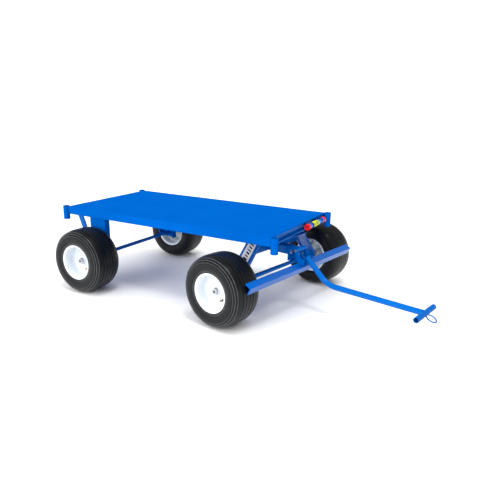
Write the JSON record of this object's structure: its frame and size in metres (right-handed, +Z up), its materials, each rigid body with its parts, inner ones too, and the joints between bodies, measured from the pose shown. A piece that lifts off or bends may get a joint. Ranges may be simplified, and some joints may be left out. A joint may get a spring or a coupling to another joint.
{
  "type": "platform trolley",
  "caption": "Blue steel platform trolley with pneumatic tyres, a turntable-steered front axle, a hinged tow tongue with a T handle and a brake bar, and corner stake sockets.",
  "frame": {"origin": "on the ground under the middle of the bounding box of the whole trolley, tongue included", "axes": "+X forward along the deck towards the tongue, +Y to the trolley's left, +Z up"},
  "size_m": [2.3964, 1.2214, 0.507],
  "materials": {
    "blue_paint": "gloss enamel",
    "rim_enamel": "gloss enamel",
    "tyre_rubber": "smooth sidewall, ribbed tread",
    "valve_rubber": "matte",
    "bearing_steel": "satin",
    "zinc": "zinc plated",
    "tube_plastic": "gloss",
    "cap_red": "gloss",
    "clip_black": "matte"
  },
  "bodies": {
    "chassis": {"deck_plate": "blue_paint", "side_channel_left": "blue_paint", "side_channel_right": "blue_paint", "end_channel_front": "blue_paint", "end_channel_rear": "blue_paint", "cross_members": "blue_paint", "corner_sockets": "blue_paint", "rear_leg_left": "blue_paint", "rear_leg_right": "blue_paint", "rear_brace_left": "blue_paint", "rear_brace_right": "blue_paint", "rear_axle": "blue_paint", "rear_axle_hardware": "zinc", "turntable_top_plate": "blue_paint", "upper_race": "bearing_steel", "king_pin": "zinc", "king_nut": "zinc", "document_tube": "tube_plastic", "document_tube_end": "cap_red", "tube_clips": "clip_black"},
    "steering_frame": {"lower_race": "bearing_steel", "turntable_balls": "bearing_steel", "turntable_bottom_plate": "blue_paint", "bolster": "blue_paint", "front_leg_left": "blue_paint", "front_leg_right": "blue_paint", "axle_end_plates": "blue_paint", "cross_tie": "blue_paint", "drawbar_beam": "blue_paint", "beam_hanger": "blue_paint", "hinge_bracket": "blue_paint", "hinge_bolts": "zinc", "hinge_pin": "zinc", "front_axle": "blue_paint", "front_axle_hardware": "zinc"},
    "tongue": {"tongue_knuckles": "blue_paint", "tongue_yoke": "blue_paint", "yoke_bolts": "zinc", "tongue_gusset": "blue_paint", "brake_bar": "blue_paint", "tongue_tube": "blue_paint", "tow_handle": "blue_paint", "hitch_ring": "blue_paint"},
    "document_cap": {"document_tube_cap": "cap_red"},
    "wheel_rear_left": {"tyre_rear_left": "tyre_rubber", "rim_rear_left": "rim_enamel", "wheel_bearings_rear_left": "bearing_steel", "valve_rear_left": "valve_rubber"},
    "wheel_rear_right": {"tyre_rear_right": "tyre_rubber", "rim_rear_right": "rim_enamel", "wheel_bearings_rear_right": "bearing_steel", "valve_rear_right": "valve_rubber"},
    "wheel_front_left": {"tyre_front_left": "tyre_rubber", "rim_front_left": "rim_enamel", "wheel_bearings_front_left": "bearing_steel", "valve_front_left": "valve_rubber"},
    "wheel_front_right": {"tyre_front_right": "tyre_rubber", "rim_front_right": "rim_enamel", "wheel_bearings_front_right": "bearing_steel", "valve_front_right": "valve_rubber"}
  },
  "joints": [
    {"name": "steering", "type": "hinge", "parent": "chassis", "child": "steering_frame", "pos_m": [0.21, 0, 0.424], "axis": [0, 0, 1], "range_deg": [-30, 50]},
    {"name": "tongue_lift", "type": "hinge", "parent": "steering_frame", "child": "tongue", "pos_m": [0.3853, -0.03091, 0.361], "axis": [-0.1736, -0.9848, 0], "range_deg": [0, 80]},
    {"name": "document_cap_slide", "type": "slide", "parent": "chassis", "child": "document_cap", "axis": [0, -1, 0], "range_m": [0, 0.08]},
    {"name": "wheel_rear_left_spin", "type": "hinge", "parent": "chassis", "child": "wheel_rear_left", "pos_m": [-0.904, 0.48, 0.2035], "axis": [0, 1, 0], "continuous": true},
    {"name": "wheel_front_left_spin", "type": "hinge", "parent": "steering_frame", "child": "wheel_front_left", "pos_m": [0.29491, 0.48157, 0.2035], "axis": [0.1736, 0.9848, 0], "continuous": true},
    {"name": "wheel_rear_right_spin", "type": "hinge", "parent": "chassis", "child": "wheel_rear_right", "pos_m": [-0.904, -0.48, 0.2035], "axis": [0, 1, 0], "continuous": true},
    {"name": "wheel_front_right_spin", "type": "hinge", "parent": "steering_frame", "child": "wheel_front_right", "pos_m": [0.12509, -0.48157, 0.2035], "axis": [0.1736, 0.9848, 0], "continuous": true}
  ]
}
